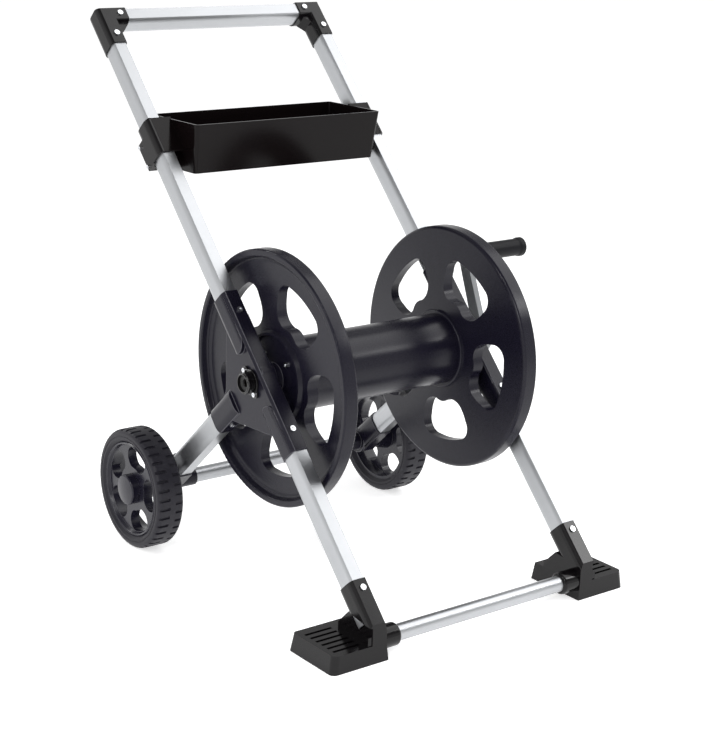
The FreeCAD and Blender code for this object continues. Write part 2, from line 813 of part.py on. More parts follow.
for side_name, side in SIDES.items():
    name = side_name + "_flange"
    body = new_body(name, reel_base)
    half = loop(sketch(body, name + "_section"), flip(flange_profile(), side))
    revolve(body, "Revolution", half)
    start, length = span(side, D.flange_in - D.flange_dish - 8, D.flange_out + 2)
    phase = D.hole_phase
    near_r, far_r = 85.2, 152.5
    window = [
        polar(Dim.of(near_r), phase - 9.46) + (26.3,),
        polar(Dim.of(near_r + 23.1), phase - 25.2) + (60,),
        polar(Dim.of(far_r - 24.7), phase - 24.3) + (22.5,),
        polar(Dim.of(far_r), phase - 13) + (far_r,),
        polar(Dim.of(far_r), phase + 13) + (22.5,),
        polar(Dim.of(far_r - 24.7), phase + 24.3) + (60,),
        polar(Dim.of(near_r + 23.1), phase + 25.2) + (26.3,),
        polar(Dim.of(near_r), phase + 9.46) + (-26.5,),
    ]
    hole = loop(sketch(body, name + "_window", at_x(start), FACING_X), window)
    cut = extrude(body, "Pocket", hole, length)
    repeat(body, cut, D.hole_count)
    start, length = span(side, D.recess_face - 30, D.recess_face + 10)
    bolt = circle(sketch(body, name + "_bolt", at_x(start), FACING_X), *polar(Dim.of(43), 139), 2.1)
    cut = extrude(body, "Pocket", bolt, length)
    repeat(body, cut, 4)

drum = new_body("drum", reel_base)
inside = D.drum_radius - D.drum_wall
section = [
    (-D.drum_half, inside),
    (D.drum_half, inside),
    (D.drum_half, D.drum_radius),
    (-D.drum_half, D.drum_radius),
]
revolve(drum, "Revolution", loop(sketch(drum, "drum_section"), section))
RADIAL = Rotation(X_AXIS, CELLS["outlet_angle"] - 90)
hole = circle(sketch(drum, "drum_outlet_hole", (0, 0, 0), RADIAL), D.outlet_x, 0, 10.2)
extrude(drum, "Pocket", hole, 80)

for side_name, side in SIDES.items():
    name = side_name + "_hub_plate"
    body = new_body(name, reel_base)
    shaft_end = 213 if side < 0 else 227
    section = [
        (D.recess_face, 0 if side > 0 else D.tube_radius + 0.1),
        (D.recess_face, D.hub_ring_radius - 4),
        (D.recess_face + 4, D.hub_ring_radius - 4),
        (D.recess_face + 4, 24),
        (182, 22),
        (182, D.journal_radius),
        (shaft_end, D.journal_radius),
        (shaft_end, 0 if side > 0 else D.tube_radius + 0.1),
    ]
    revolve(body, "Revolution", loop(sketch(body, name + "_section"), flip(section, side)))
    if side > 0:
        square = [polar(Dim.of(11.31), D.crank_angle + 45 + 90 * corner) for corner in range(4)]
        drive = loop(sketch(body, name + "_drive", at_x(225), FACING_X), square)
        extrude(body, "Pad", drive, D.crank_in + D.crank_thick - 226)
        pilot = circle(sketch(body, name + "_pilot", at_x(228), FACING_X), 0, 0, 3.1)
        extrude(body, "Pocket", pilot, 40)
    start, length = span(side, 160, 190)
    bolt = circle(sketch(body, name + "_bolt", at_x(start), FACING_X), *polar(Dim.of(43), 139), 2.1)
    cut = extrude(body, "Pocket", bolt, length)
    repeat(body, cut, 4)

for side_name, side in SIDES.items():
    name = side_name + "_bushing"
    body = new_body(name, reel_base)
    section = [
        (184, D.journal_radius + 0.05),
        (184, 20),
        (D.hub_in - 0.1, 20),
        (D.hub_in - 0.1, D.bushing_radius),
        (D.web_out - 0.5, D.bushing_radius),
        (D.web_out - 0.5, D.journal_radius + 0.05),
    ]
    revolve(body, "Revolution", loop(sketch(body, name + "_section"), flip(section, side)))

# ---------------------------------------------------------------- water way
tube_body = new_body("water_tube", reel_base, Rotation(X_AXIS, CELLS["outlet_angle"] - 90))
bend = 24
for kind, radius in (("AdditivePipe", D.tube_radius), ("SubtractivePipe", D.tube_bore)):
    label = "water_tube_" + kind.lower()
    path = loop(sketch(tube_body, label + "_path", (0, 0, 0), Rotation(X_AXIS, 90)), [
        (-216, 0),
        (D.outlet_x - bend, 0, bend),
        (D.outlet_x, bend),
        (D.outlet_x, 44),
    ], closed=False)
    ring = circle(sketch(tube_body, label + "_ring", at_x(-216), FACING_X), 0, 0, radius)
    pipe = tube_body.newObject("PartDesign::" + kind, label)
    pipe.Profile = ring
    pipe.Spine = path

outlet = new_body("hose_outlet", reel_base, RADIAL)
stub = circle(sketch(outlet, "hose_outlet_stub", (0, 0, 44)), D.outlet_x, 0, 10)
extrude(outlet, "Pad", stub, 26)
ring = circle(sketch(outlet, "hose_outlet_flange", (0, 0, D.drum_radius + 1)), D.outlet_x, 0, 14)
extrude(outlet, "Pad", ring, 3)
way = circle(sketch(outlet, "hose_outlet_bore", (0, 0, 40)), D.outlet_x, 0, D.tube_bore)
extrude(outlet, "Pocket", way, 40)

inlet = new_body("inlet_housing", reel_base)
plate = circle(sketch(inlet, "inlet_plate", at_x(-D.web_out - 3.6), FACING_X), 0, 0, 20)
extrude(inlet, "Pad", plate, 3.5)
for index, angle in enumerate((49, 229)):
    ear = circle(sketch(inlet, "inlet_ear_" + str(index), at_x(-D.web_out - 3.6), FACING_X),
                 *polar(Dim.of(20), angle), 7)
    extrude(inlet, "Pad", ear, 3.5)
section = [
    (-D.web_out - 2, 0),
    (-D.web_out - 2, 9.5),
    (-D.web_out - 8, 9.5),
    (-D.web_out - 8, 11),
    (-D.web_out - 9.5, 11),
    (-D.web_out - 9.5, 0),
]
revolve(inlet, "Revolution", loop(sketch(inlet, "inlet_stub"), section))
chamber = circle(sketch(inlet, "inlet_chamber", at_x(-216.4), FACING_X), 0, 0, D.tube_radius + 0.05)
extrude(inlet, "Pocket", chamber, 10)
way = circle(sketch(inlet, "inlet_way", at_x(-240), FACING_X), 0, 0, D.tube_bore)
extrude(inlet, "Pocket", way, 40)
for index, angle in enumerate((49, 229)):
    hole = circle(sketch(inlet, "inlet_hole_" + str(index), at_x(-225), FACING_X),
                  *polar(Dim.of(21), angle), 2.1)
    extrude(inlet, "Pocket", hole, 20)

nut = new_body("inlet_nut", reel_base)
nut_start = D.web_out + 4.1
nut_length = 12.4
section = [
    (-nut_start, 9.56),
    (-nut_start, 15.5, -1),
    (-nut_start - 1, 16.5),
    (-nut_start - nut_length + 2, 16.5, -2),
    (-nut_start - nut_length, 14.5),
    (-nut_start - nut_length, 13.2),
    (-nut_start - 7.8, 13.2),
    (-nut_start - 7.8, 12.8),
    (-nut_start - 3.8, 12.8),
    (-nut_start - 3.8, 9.56),
]
revolve(nut, "Revolution", loop(sketch(nut, "inlet_nut_section"), section))
rib = circle(sketch(nut, "inlet_nut_rib", at_x(-nut_start - nut_length), FACING_X), 17.4, 0, 1.6)
cut = extrude(nut, "Pocket", rib, nut_length)
repeat(nut, cut, 12)

washer = new_body("inlet_washer", reel_base)
ring = sketch(washer, "inlet_washer_ring", at_x(-D.web_out - 11.6), FACING_X)
circle(circle(ring, 0, 0, 12.6), 0, 0, 6.5)
extrude(washer, "Pad", ring, 2)

# ---------------------------------------------------------------- crank
crank = new_body("crank_arm", reel_base, Rotation(X_AXIS, CELLS["crank_angle"]))
hub = circle(sketch(crank, "crank_hub", at_x(D.crank_in - 3), FACING_X), 0, 0, 18)
extrude(crank, "Pad", hub, D.crank_thick + 3)
arm = [(0, -12), (D.crank_radius, -10), (D.crank_radius, 10), (0, 12)]
bar = loop(sketch(crank, "crank_bar", at_x(D.crank_in), FACING_X), arm)
extrude(crank, "Pad", bar, D.crank_thick)
eye = circle(sketch(crank, "crank_eye", at_x(D.crank_in), FACING_X), D.crank_radius, 0, 12)
extrude(crank, "Pad", eye, D.crank_thick + 2)
square = [(-8.1, -8.1), (8.1, -8.1), (8.1, 8.1), (-8.1, 8.1)]
socket_hole = loop(sketch(crank, "crank_square", at_x(D.crank_in - 10), FACING_X), square)
extrude(crank, "Pocket", socket_hole, D.crank_thick + 20)
drill(crank, "crank_pin_hole", (D.crank_in - 10, D.crank_radius, 0), FACING_X, 5.1, 30)

grip_y, grip_z = polar(D.crank_radius, D.crank_angle)
grip_base = (reel_base[0], reel_base[1] + grip_y, reel_base[2] + grip_z)
pin = new_body("grip_pin", grip_base)
section = [
    (D.crank_in - 5, 0),
    (D.crank_in - 5, 8),
    (D.crank_in - 0.1, 8),
    (D.crank_in - 0.1, 5),
    (D.grip_out - 17, 5),
    (D.grip_out - 17, 9),
    (D.grip_out - 12, 9),
    (D.grip_out - 12, 0),
]
revolve(pin, "Revolution", loop(sketch(pin, "grip_pin_section"), section))

grip = new_body("grip", grip_base)
section = [
    (D.grip_in, 5.06),
    (D.grip_in, D.grip_lip - 2, -2),
    (D.grip_in + 2, D.grip_lip),
    (D.grip_in + 6, D.grip_lip),
    (D.grip_in + 11, D.grip_radius),
    (D.grip_out - 15, D.grip_radius),
    (D.grip_out - 9, D.grip_lip),
    (D.grip_out - 3, D.grip_lip, -3),
    (D.grip_out, D.grip_lip - 3),
    (D.grip_out, 11),
    (D.grip_out - 18, 11),
    (D.grip_out - 18, 5.06),
]
revolve(grip, "Revolution", loop(sketch(grip, "grip_section"), section))

cap = new_body("grip_cap", grip_base)
plug = circle(sketch(cap, "grip_cap_plug", at_x(D.grip_out - 7), FACING_X), 0, 0, 10.9)
extrude(cap, "Pad", plug, 6.5)

# ---------------------------------------------------------------- wheels
for side_name, side in SIDES.items():
    name = side_name + "_wheel_rim"
    body = new_body(name, wheel_base)
    face, back, seat = D.wheel_web_face, D.wheel_web_back, D.tyre_seat
    section = [
        (D.wheel_in + 0.4, 8.1),
        (D.wheel_in + 0.4, 19),
        (back, 25),
        (back, seat - 8),
        (D.wheel_in + 6, seat - 5),
        (D.wheel_in + 6, seat),
        (D.wheel_out - 4, seat),
        (D.wheel_out - 2, seat - 2),
        (D.wheel_out - 3, seat - 4),
        (face, seat - 7),
        (face, 8.1),
    ]
    revolve(body, "Revolution", loop(sketch(body, name + "_section"), flip(section, side)))
    start, length = span(side, back - 4, face + 4)
    near_r, far_r, phase = 37, 71.5, D.window_phase
    window = [
        polar(Dim.of(near_r), phase - 10) + (13,),
        polar(Dim.of(near_r + 9), phase - 27) + (17,),
        polar(Dim.of(far_r - 12), phase - 27) + (15,),
        polar(Dim.of(far_r), phase - 11) + (far_r,),
        polar(Dim.of(far_r), phase + 11) + (15,),
        polar(Dim.of(far_r - 12), phase + 27) + (17,),
        polar(Dim.of(near_r + 9), phase + 27) + (13,),
        polar(Dim.of(near_r), phase + 10) + (-near_r,),
    ]
    hole = loop(sketch(body, name + "_window", at_x(start), FACING_X), window)
    cut = extrude(body, "Pocket", hole, length)
    repeat(body, cut, D.window_count)

    name = side_name + "_tyre"
    body = new_body(name, wheel_base)
    section = [
        (D.wheel_in + 6, seat + 0.2),
        (D.wheel_in, seat + 5),
        (D.wheel_in, D.wheel_radius - 8, -9),
        (D.wheel_in + 8, D.wheel_radius),
        (D.wheel_out - 8, D.wheel_radius, -9),
        (D.wheel_out, D.wheel_radius - 8),
        (D.wheel_out, seat + 5),
        (D.wheel_out - 4, seat + 0.2),
    ]
    revolve(body, "Revolution", loop(sketch(body, name + "_section"), flip(section, side)))
    for row_name, low, high, turn in (("inner", 4, 18, 0), ("outer", 27, 44, 4.5)):
        start, length = span(side, D.wheel_in + low, D.wheel_in + high)
        facing_up = Rotation(X_AXIS, turn)
        notch = [(start, -1.8), (start + length, -1.8), (start + length, 1.8), (start, 1.8)]
        base = (0, -(D.wheel_radius - 2.2) * sin(turn), (D.wheel_radius - 2.2) * cos(turn))
        sk = loop(sketch(body, name + "_notch_" + row_name, base, facing_up), notch)
        cut = extrude(body, "Pocket", sk, 6)
        repeat(body, cut, D.notch_count)

    name = side_name + "_hub_cap"
    body = new_body(name, wheel_base)
    section = [
        (face, D.cap_radius - 3),
        (face, D.cap_radius),
        (D.cap_face - 5, D.cap_radius, -3),
        (D.cap_face - 2, D.cap_radius - 3, -122),
        (D.cap_face, 0),
        (D.cap_face - 2.5, 0),
        (D.cap_face - 4.5, D.cap_radius - 5),
    ]
    revolve(body, "Revolution", loop(sketch(body, name + "_section"), flip(section, side)))

    name = side_name + "_wheel_bushing"
    body = new_body(name, wheel_base)
    start, length = span(side, D.wheel_in + 0.4, face - 0.4)
    ring = circle(circle(sketch(body, name + "_ring", at_x(start), FACING_X), 0, 0, 8), 0, 0, 5.06)
    extrude(body, "Pad", ring, length)

    name = side_name + "_axle_washer"
    body = new_body(name, wheel_base)
    start, length = span(side, hub_out + 5, D.wheel_in - 0.4)
    ring = circle(circle(sketch(body, name + "_ring", at_x(start), FACING_X), 0, 0, 10), 0, 0, 5.1)
    extrude(body, "Pad", ring, length)

    name = side_name + "_push_nut"
    body = new_body(name, wheel_base)
    start, length = span(side, face + 1, face + 5)
    ring = circle(circle(sketch(body, name + "_ring", at_x(start), FACING_X), 0, 0, 9), 0, 0, 5.1)
    extrude(body, "Pad", ring, length)

# ---------------------------------------------------------------- screws and their holes
SCREW_HOLE = D.screw_shank + 0.1
BEHIND = Rotation(X_AXIS, -90)
INTO_RAIL = LEAN * BEHIND
named = {body.Name: body for body in NODES}
corner_spots, foot_spots, bracket_spots, clamp_spots = [], [], [], []
bar_screw_x, corner_screw_s, foot_screw_s = 183.1, 1131, 138
upper_screw_s, lower_screw_s, leg_screw_t = 604.6, 397.5, 105
clamp_screw_m = D.rail_depth + 4.8
for side_name, side in SIDES.items():
    rail_x = D.rail_x * side
    corner = named[side_name + "_corner"]
    bracket = named[side_name + "_side_bracket"]
    foot = named[side_name + "_foot"]
    upper = named[side_name + "_upper_rail"]
    lower = named[side_name + "_lower_rail"]
    upper_low = D.upper_socket_low + 30
    lower_low = D.foot_socket_low + 45
    above = -wall - 1
    drill(corner, side_name + "_corner_hole", (rail_x, above, corner_screw_s), BEHIND, SCREW_HOLE, 12)
    drill(corner, side_name + "_bar_hole", (bar_screw_x * side, above, D.handle_s), BEHIND, SCREW_HOLE, 12)
    drill(named["handle_bar"], side_name + "_bar_screw_hole", (0, -1, bar_half + bar_screw_x * side), BEHIND,
          SCREW_HOLE, 6)
    drill(upper, side_name + "_top_hole", (0, -1, corner_screw_s - upper_low), BEHIND, SCREW_HOLE, 6)
    drill(upper, side_name + "_bottom_hole", (0, -1, upper_screw_s - upper_low), BEHIND, SCREW_HOLE, 6)
    drill(lower, side_name + "_upper_hole", (0, -1, lower_screw_s - lower_low), BEHIND, SCREW_HOLE, 6)
    drill(lower, side_name + "_lower_hole", (0, -1, foot_screw_s - lower_low), BEHIND, SCREW_HOLE, 6)
    drill(foot, side_name + "_foot_hole", at_x(rail_x, on_rail(foot_screw_s, above)), INTO_RAIL,
          SCREW_HOLE, 12)
    for label, s in (("upper", upper_screw_s), ("lower", lower_screw_s)):
        drill(bracket, side_name + "_" + label + "_bracket_hole", at_x(rail_x, on_rail(s, above)),
              INTO_RAIL, SCREW_HOLE, 12)
        bracket_spots.append((at_x(rail_x, on_rail(s, -wall)), FRONT))
    drill(bracket, side_name + "_leg_socket_hole", at_x(rail_x, on_leg(leg_screw_t, leg_face + above)),
          LEG_TURN * BEHIND, SCREW_HOLE, 12)
    drill(named[side_name + "_rear_leg"], side_name + "_leg_hole",
          (0, leg_face - 1, leg_length - leg_screw_t - 24), BEHIND, SCREW_HOLE, 6)
    bracket_spots.append((at_x(rail_x, on_leg(leg_screw_t, leg_face - wall)), UNDER))
    corner_spots.append((at_x(rail_x, on_rail(corner_screw_s, -wall)), FRONT))
    corner_spots.append((at_x(bar_screw_x * side, on_rail(D.handle_s, -wall)), FRONT))
    foot_spots.append((at_x(rail_x, on_rail(foot_screw_s, -wall)), FRONT))
    clamp = named[side_name + "_tray_clamp"]
    start, length = span(side, D.rail_x - 8, D.rail_x + 20)
    for index, s in enumerate((902, 938)):
        drill(tray, side_name + "_lug_hole_" + str(index), at_x(start, on_rail(s, clamp_screw_m)), FACING_X,
              SCREW_HOLE, length)
        drill(clamp, side_name + "_clamp_hole_" + str(index), (start, clamp_screw_m, s - D.ear_low_s),
              FACING_X, SCREW_HOLE, length)
        seat = (D.rail_x + D.rail_width / 2 + shell_thick) * side
        clamp_spots.append((at_x(seat, on_rail(s, clamp_screw_m)), Vector(side, 0, 0)))

screws("corner_screws", corner_spots)
screws("foot_screws", foot_spots)
screws("bracket_screws", bracket_spots)
screws("tray_clamp_screws", clamp_spots, head=3.4, length=20)

hub_spots = []
for side in SIDES.values():
    for quarter in range(4):
        y, z = polar(Dim.of(43), 139 + 90 * quarter)
        hub_spots.append((((D.recess_face + 4) * side, D.reel_y + y, D.reel_z + z), Vector(side, 0, 0)))
screws("flange_screws", hub_spots, length=13)

inlet_spots = []
for index, angle in enumerate((49, 229)):
    y, z = polar(Dim.of(21), angle)
    drill(named["left_side_bracket"], "inlet_bracket_hole_" + str(index),
          (-D.web_out - 1, D.reel_y + y, D.reel_z + z), FACING_X, SCREW_HOLE, 14)
    inlet_spots.append(((-D.web_out - 3.6, D.reel_y + y, D.reel_z + z), Vector(-1, 0, 0)))
screws("inlet_screws", inlet_spots, head=3.8, length=10)
crank_seat = (D.crank_in + D.crank_thick, D.reel_y, D.reel_z)
screws("crank_screw", [(crank_seat, X_AXIS)], head=12, height=4, shank=3, length=18)

# ---------------------------------------------------------------- check and write
doc.recompute()
for obj in doc.Objects:
    faults = [word for word in obj.State if word in ("Invalid", "Error")]
    if faults:
        raise RuntimeError(obj.Name + " is " + ", ".join(faults))
os.makedirs("parts", exist_ok=True)
for node in NODES:
    node.Label = node.Name
    if node.Shape.isNull() or not node.Shape.isValid():
        raise RuntimeError(node.Name + " has no valid shape")
    node.Shape.exportStep("parts/" + node.Label + ".step")
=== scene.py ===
import math
import json

import bmesh
import bpy
from mathutils import Euler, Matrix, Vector


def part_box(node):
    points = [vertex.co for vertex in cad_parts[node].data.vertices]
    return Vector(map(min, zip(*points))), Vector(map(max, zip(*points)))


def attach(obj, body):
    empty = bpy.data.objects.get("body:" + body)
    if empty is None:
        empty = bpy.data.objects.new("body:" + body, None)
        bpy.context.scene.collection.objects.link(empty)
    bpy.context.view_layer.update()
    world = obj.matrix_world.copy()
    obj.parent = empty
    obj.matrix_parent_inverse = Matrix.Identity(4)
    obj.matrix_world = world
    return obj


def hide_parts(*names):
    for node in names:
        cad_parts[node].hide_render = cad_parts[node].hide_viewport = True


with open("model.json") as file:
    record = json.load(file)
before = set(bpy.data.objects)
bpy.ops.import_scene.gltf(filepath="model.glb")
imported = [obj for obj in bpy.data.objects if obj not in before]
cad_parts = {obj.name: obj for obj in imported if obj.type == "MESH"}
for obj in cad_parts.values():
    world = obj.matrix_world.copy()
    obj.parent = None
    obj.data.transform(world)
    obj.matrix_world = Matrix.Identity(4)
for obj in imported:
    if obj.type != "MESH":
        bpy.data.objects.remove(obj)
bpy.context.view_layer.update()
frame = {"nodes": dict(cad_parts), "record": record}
NODES = frame["nodes"]
SIDES = {"left": -1, "right": 1}
SLOT = {row["node"]: row["material_slot"] for row in frame["record"]["subparts"]}

# ---------------------------------------------------------------- camera
CAMERA_PLACE = (-1.6472, -2.15972, 1.08052)
CAMERA_TURN = (74.023, -1.386, -37.034)
LENS = 84.98

scene = bpy.context.scene
camera = bpy.data.objects.new("camera", bpy.data.cameras.new("camera"))
scene.collection.objects.link(camera)
camera.location = CAMERA_PLACE
camera.rotation_euler = Euler([math.radians(angle) for angle in CAMERA_TURN])
camera.data.lens = LENS
camera.data.clip_end = 100
scene.camera = camera
scene.view_settings.view_transform = "Standard"


def node_in(tree, kind, **values):
    """A shader node with some of its inputs set."""
    node = tree.nodes.new(kind)
    for key, value in values.items():
        node.inputs[key.replace("_", " ")].default_value = value
    return node


# ---------------------------------------------------------------- light and floor
ROOM_BACK = (0.55, 0.80, 0.0)                   # towards the wall behind the cart
FRONT_LEVEL, BACK_LEVEL = 0.24, 0.56            # how bright the room is above the white walls
WALL_FADE_START, WALL_FADE_END = 0.26, 0.48     # how high the white walls go: the sine of the elevation

FLOOR_NEAR, FLOOR_FAR = 30, 60                  # how far it reaches: in front and to the sides, behind

# name: place, height of the point it faces, size, power in watts
LIGHTS = {
    "sky": ((1.6, -0.65, 2.5), 0.45, (2.3, 2.3), 37),
    "key": ((-1.9, -2.2, 2.1), 0.35, (0.8, 0.8), 24),
    "rim": ((-1.2, 2.4, 1.7), 0.4, (1.0, 0.5), 12),
    "edge": ((1.9, -1.7, 1.9), 0.3, (0.8, 0.5), 9),
    "side": ((-2.0, -0.5, 1.9), 0.4, (0.7, 0.5), 12),
}


def white_room():
    """White walls down at the floor; higher up the room is dimmer, most of all in front of the cart."""
    world = bpy.data.worlds.new("studio")
    world.use_nodes = True
    tree = world.node_tree
    coords = tree.nodes.new("ShaderNodeTexCoord")

    along = tree.nodes.new("ShaderNodeVectorMath")
    along.operation = "DOT_PRODUCT"
    along.inputs[1].default_value = ROOM_BACK
    tree.links.new(coords.outputs["Generated"], along.inputs[0])
    upper = node_in(tree, "ShaderNodeMapRange", From_Min=-0.6, From_Max=0.5,
                    To_Min=FRONT_LEVEL, To_Max=BACK_LEVEL)
    tree.links.new(along.outputs["Value"], upper.inputs["Value"])

    height = tree.nodes.new("ShaderNodeSeparateXYZ")
    tree.links.new(coords.outputs["Generated"], height.inputs["Vector"])
    wall = node_in(tree, "ShaderNodeMapRange", From_Min=WALL_FADE_START, From_Max=WALL_FADE_END,
                   To_Min=1.0, To_Max=0.0)
    tree.links.new(height.outputs["Z"], wall.inputs["Value"])

    brightest = tree.nodes.new("ShaderNodeMath")
    brightest.operation = "MAXIMUM"
    tree.links.new(upper.outputs["Result"], brightest.inputs[0])
    tree.links.new(wall.outputs["Result"], brightest.inputs[1])
    background = tree.nodes["Background"]
    background.inputs["Color"].default_value = (1, 1, 1, 1)
    tree.links.new(brightest.outputs["Value"], background.inputs["Strength"])
    scene.world = world


def soft_light(name, place, aim_height, size, power):
    """A rectangular light that faces a point above the middle of the floor."""
    data = bpy.data.lights.new(name, "AREA")
    data.shape = "RECTANGLE"
    data.size, data.size_y = size
    data.energy = power
    light = bpy.data.objects.new(name, data)
    scene.collection.objects.link(light)
    light.location = place
    facing = Vector((0, 0, aim_height)) - Vector(place)
    light.rotation_euler = facing.to_track_quat("-Z", "Y").to_euler()


def plain_floor():
    """A white floor that gives a little light of its own."""
    mesh = bpy.data.meshes.new("floor")
    corners = [(-FLOOR_NEAR, -FLOOR_NEAR, 0), (FLOOR_NEAR, -FLOOR_NEAR, 0),
               (FLOOR_NEAR, FLOOR_FAR, 0), (-FLOOR_NEAR, FLOOR_FAR, 0)]
    mesh.from_pydata(corners, [], [(0, 1, 2, 3)])
    floor = bpy.data.objects.new("floor", mesh)
    scene.collection.objects.link(floor)
    material = bpy.data.materials.new("floor")
    material.use_nodes = True
    shader = material.node_tree.nodes["Principled BSDF"]
    shader.inputs["Base Color"].default_value = (0.93, 0.93, 0.93, 1)
    shader.inputs["Roughness"].default_value = 0.95
    shader.inputs["Emission Color"].default_value = (1, 1, 1, 1)
    shader.inputs["Emission Strength"].default_value = 0.6
    mesh.materials.append(material)


white_room()
for light_name, setting in LIGHTS.items():
    soft_light(light_name, *setting)
plain_floor()

# ---------------------------------------------------------------- materials
DRIFT_SCALE = 9.0           # how often the colour drifts, per metre
ROUGHNESS_DRIFT = 0.12      # how far the roughness drifts either way
GRAIN_HEIGHT = 0.0004


def finish_of(name, color, roughness, metallic=0.0, specular=0.5, grain=(900, 0.03), drift=0.06,
              stretch=(1, 1, 1)):
    """A moulded or drawn finish: colour and roughness drift a little, and a fine grain lies on the surface.

    grain is how fine the grain is, per metre, and how strong.
    """
    material = bpy.data.materials.new(name)
    material.use_nodes = True
    tree = material.node_tree
    shader = tree.nodes["Principled BSDF"]
    shader.inputs["Metallic"].default_value = metallic
    shader.inputs["Specular IOR Level"].default_value = specular
    grain_scale, grain_strength = grain

    place = tree.nodes.new("ShaderNodeTexCoord")
    broad = node_in(tree, "ShaderNodeTexNoise", Scale=DRIFT_SCALE, Detail=4.0)
    tree.links.new(place.outputs["Object"], broad.inputs["Vector"])
    stretched = node_in(tree, "ShaderNodeMapping", Scale=stretch)
    tree.links.new(place.outputs["Object"], stretched.inputs["Vector"])
    fine = node_in(tree, "ShaderNodeTexNoise", Scale=float(grain_scale), Detail=3.0)
    tree.links.new(stretched.outputs["Vector"], fine.inputs["Vector"])

    tint = tree.nodes.new("ShaderNodeValToRGB")
    darker, lighter = tint.color_ramp.elements
    darker.position, lighter.position = 0.3, 0.7
    darker.color = [channel * (1 - drift) for channel in color] + [1]
    lighter.color = [min(channel * (1 + drift), 1) for channel in color] + [1]
    tree.links.new(broad.outputs["Fac"], tint.inputs["Fac"])
    tree.links.new(tint.outputs["Color"], shader.inputs["Base Color"])

    rough = node_in(tree, "ShaderNodeMapRange", From_Min=0.25, From_Max=0.75,
                    To_Min=roughness * (1 - ROUGHNESS_DRIFT), To_Max=roughness * (1 + ROUGHNESS_DRIFT))
    tree.links.new(fine.outputs["Fac"], rough.inputs["Value"])
    tree.links.new(rough.outputs["Result"], shader.inputs["Roughness"])

    bump = node_in(tree, "ShaderNodeBump", Strength=grain_strength, Distance=GRAIN_HEIGHT)
    tree.links.new(fine.outputs["Fac"], bump.inputs["Height"])
    tree.links.new(bump.outputs["Normal"], shader.inputs["Normal"])
    return material


def both(*kinds):
    """The names of these kinds of node, left and right."""
    return [side + "_" + kind for kind in kinds for side in SIDES]


FINISH = {
    "anodised_aluminium": finish_of("anodised", (0.44, 0.45, 0.465), 0.37, metallic=1.0, grain=(260, 0.10),
                                    drift=0.03, stretch=(6, 1, 1)),
    "charcoal_plastic": finish_of("charcoal", (0.0064, 0.0056, 0.0125), 0.27, specular=0.25,
                                  grain=(1400, 0.08)),
    "gloss_black_plastic": finish_of("gloss", (0.0042, 0.0036, 0.0042), 0.15, specular=0.25,
                                     grain=(500, 0.02)),
    "wheel_rubber": finish_of("tread", (0.0125, 0.0115, 0.0175), 0.5, specular=0.32, grain=(900, 0.16)),
    "zinc_steel": finish_of("zinc", (0.72, 0.73, 0.75), 0.24, metallic=1.0, grain=(800, 0.05)),
    "grey_steel": finish_of("crank_paint", (0.26, 0.27, 0.28), 0.42, grain=(600, 0.12)),
    "bearing_plastic": finish_of("acetal", (0.70, 0.69, 0.65), 0.4),
    "brass": finish_of("drawn_brass", (0.75, 0.55, 0.28), 0.28, metallic=1.0),
    "washer_rubber": finish_of("soft_rubber", (0.03, 0.03, 0.03), 0.7),
}
TRAY_FINISH = finish_of("tray", (0.0037, 0.0024, 0.0026), 0.15, specular=0.13, grain=(500, 0.02))
GRIP_FINISH = finish_of("grip", (0.005, 0.005, 0.007), 0.42, specular=0.14, grain=(1800, 0.2))
SHINY_FINISH = finish_of("shiny", (0.0100, 0.0092, 0.0175), 0.25, specular=0.4, grain=(700, 0.04))
INLET_FINISH = finish_of("inlet", (0.004, 0.0035, 0.004), 0.1, specular=0.6, grain=(700, 0.03))
# a lighter colour for the rounding on the edges only: a painted highlight, so the edges read as lit lines
PAINTED_EDGE_HIGHLIGHT = finish_of("edge", (0.040, 0.039, 0.050), 0.3, specular=0.5, grain=(1400, 0.08))

# these nodes look different from the rest of their slot
OWN_FINISH = {"tray": TRAY_FINISH, "grip": GRIP_FINISH, "grip_cap": GRIP_FINISH,
              "inlet_housing": INLET_FINISH, "inlet_nut": INLET_FINISH}
for name in both("wheel_rim", "hub_cap"):
    OWN_FINISH[name] = SHINY_FINISH
for name, node in NODES.items():
    node.data.materials.clear()
    node.data.materials.append(OWN_FINISH.get(name) or FINISH[SLOT[name]])

# ---------------------------------------------------------------- soft edges on the CAD's own shapes
SAME_SLOT, PAINTED_HIGHLIGHT_SLOT = -1, 1                    # which of a node's materials the rounding gets; the second one carries the painted edge highlight
FLAT_ANGLE = math.radians(0.3)
FINE_MERGE, COARSE_MERGE = 0.00001, 0.0003
SHARP_EDGE, SHARP_TREAD_EDGE = 28, 35       # degrees


def round_edges(piece, width, angle=SHARP_EDGE, edge_slot=SAME_SLOT, clamp=True):
    """Round every edge of one piece that is sharper than the angle, and even out the shading."""
    bevel = piece.modifiers.new("bevel", "BEVEL")
    bevel.width = width
    bevel.segments = 3
    bevel.limit_method = "ANGLE"
    bevel.angle_limit = math.radians(angle)
    bevel.material = edge_slot
    bevel.use_clamp_overlap = clamp
    normals = piece.modifiers.new("normals", "WEIGHTED_NORMAL")
    normals.weight = 60


def soft_edges(names, width, edge=None, merge=FINE_MERGE, clamp=True):
    """Merge the flat triangles of each node, then round its sharp edges.

    With an edge material, only the rounding has it: its lighter colour is a painted highlight along the
    edges.
    """
    for name in names:
        node = NODES[name]
        weld = node.modifiers.new("weld", "WELD")
        weld.merge_threshold = merge
        flat = node.modifiers.new("flat", "DECIMATE")
        flat.decimate_type = "DISSOLVE"
        flat.angle_limit = FLAT_ANGLE
        if edge:
            node.data.materials.append(edge)
        round_edges(node, width, edge_slot=PAINTED_HIGHLIGHT_SLOT if edge else SAME_SLOT, clamp=clamp)


